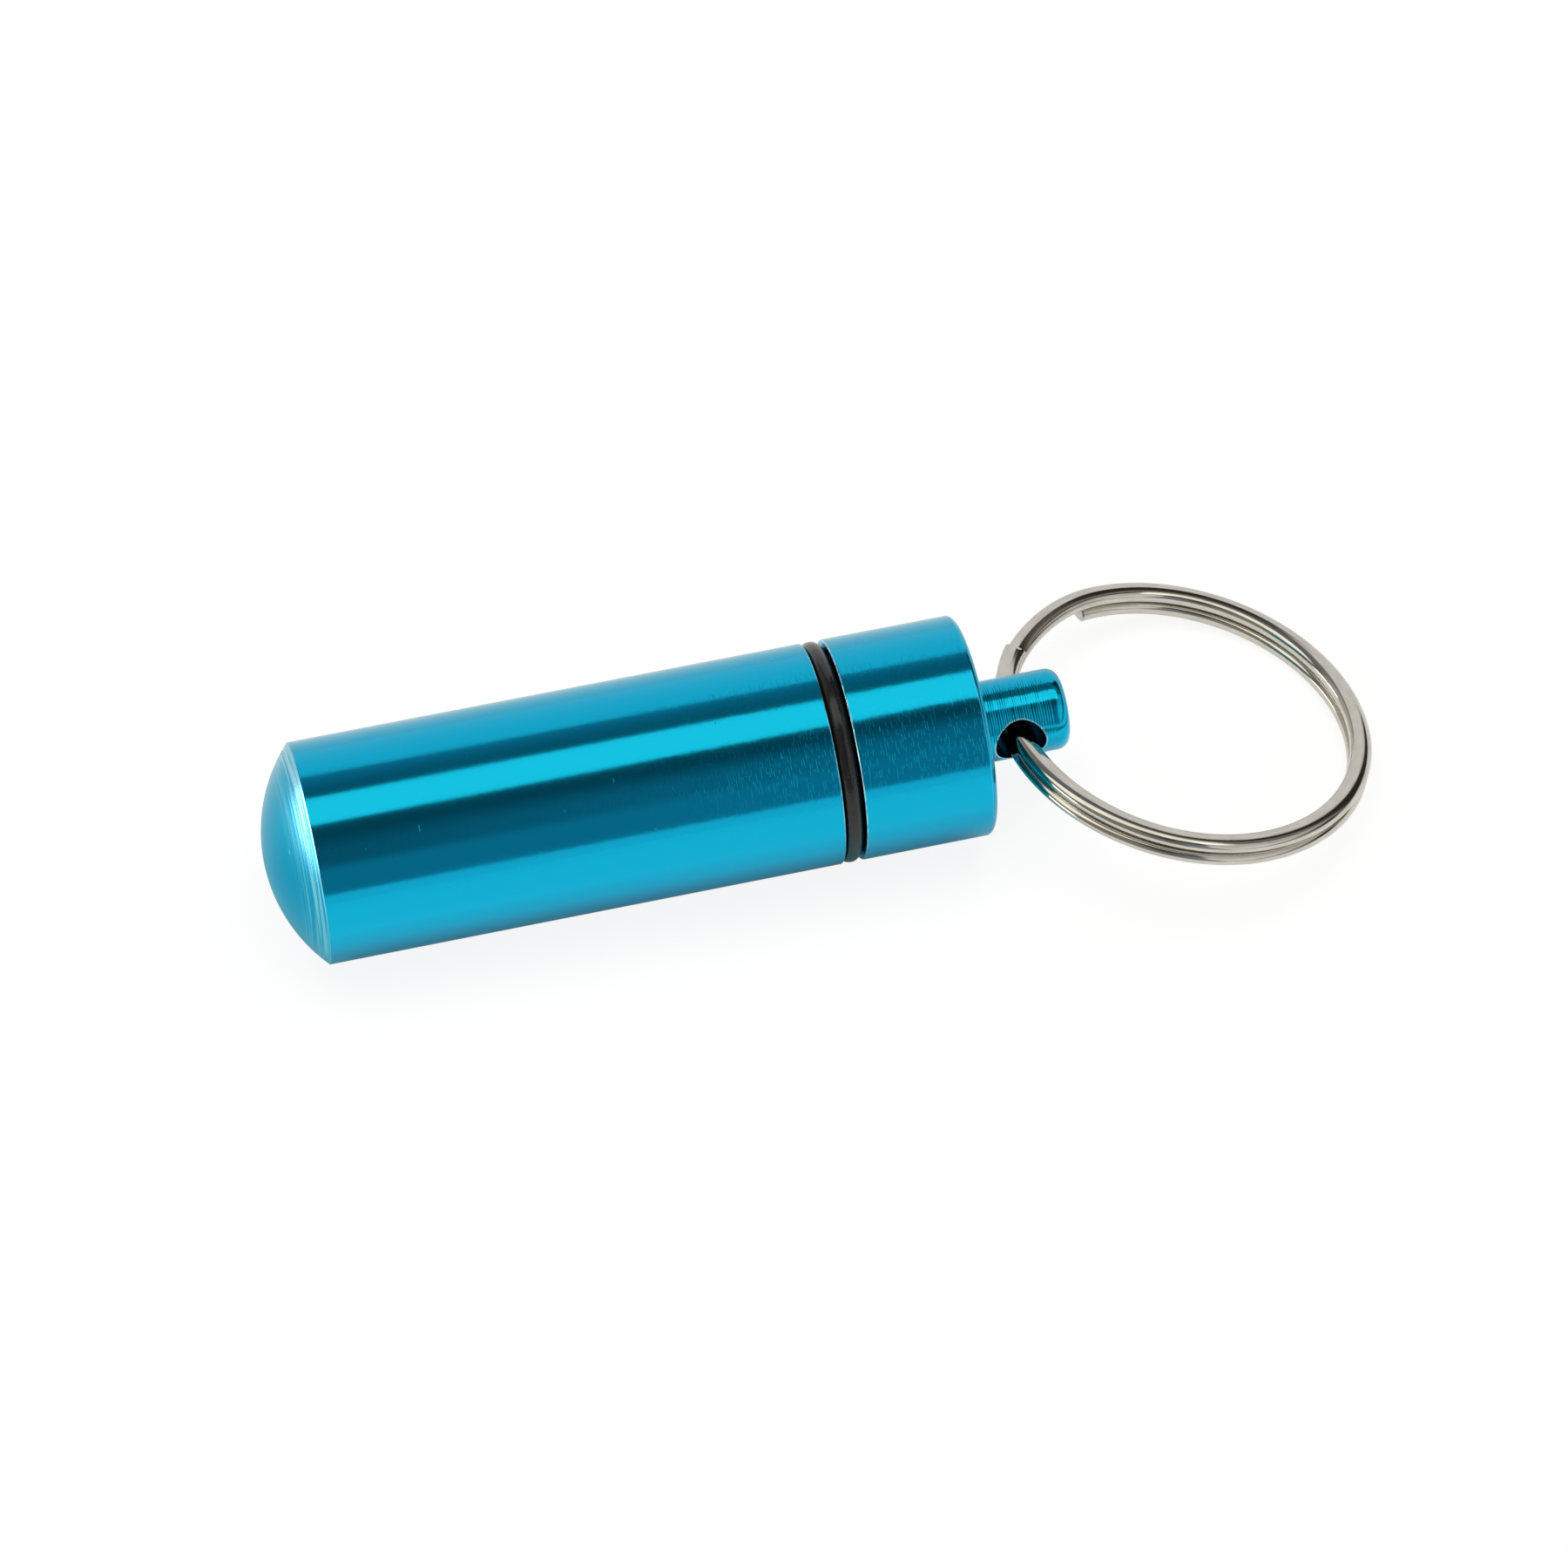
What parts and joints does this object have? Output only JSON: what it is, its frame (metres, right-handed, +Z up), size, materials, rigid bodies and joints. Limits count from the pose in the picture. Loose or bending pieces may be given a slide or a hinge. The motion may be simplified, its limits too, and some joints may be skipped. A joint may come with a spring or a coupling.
{
  "type": "pill fob keychain",
  "caption": "Turned aluminium pill capsule with a domed end, a rubber-sealed screw cap with a cross-drilled stem, and a split key ring through the stem.",
  "frame": {"origin": "on the surface that the fob lies on, under the middle of the whole object's box", "axes": "+X along the fob's axis, from the domed end towards the key ring, +Z up from the surface that it lies on"},
  "size_m": [0.0806, 0.0278, 0.016],
  "materials": {
    "anodised_body": "turned and anodised turquoise, satin",
    "anodised_cap": "turned and anodised turquoise, satin",
    "seal_rubber": "black, slightly dusty",
    "ring_steel": "nickel plated, satin faces and bright round sides"
  },
  "bodies": {
    "canister": {"canister": "anodised_body"},
    "seal": {"o_ring": "seal_rubber"},
    "cap": {"screw_cap": "anodised_cap"},
    "ring": {"split_ring": "ring_steel"}
  },
  "joints": [
    {"name": "cap_lift", "type": "slide", "parent": "canister", "child": "seal", "axis": [1, 0, 0], "range_m": [0, 0.0075]},
    {"name": "cap_turn", "type": "hinge", "parent": "seal", "child": "cap", "pos_m": [0, 0.00109, 0.008], "axis": [1, 0, 0], "range_deg": [0, 2160]},
    {"name": "ring_swing", "type": "hinge", "parent": "cap", "child": "ring", "pos_m": [0.01413, 0.00109, 0.008], "axis": [0, -0.9863, 0.165], "range_deg": [-111, 143]}
  ],
  "couplings": [
    {"joint": "cap_lift", "follows": "cap_turn", "m_per_rad": 0.00019894}
  ]
}
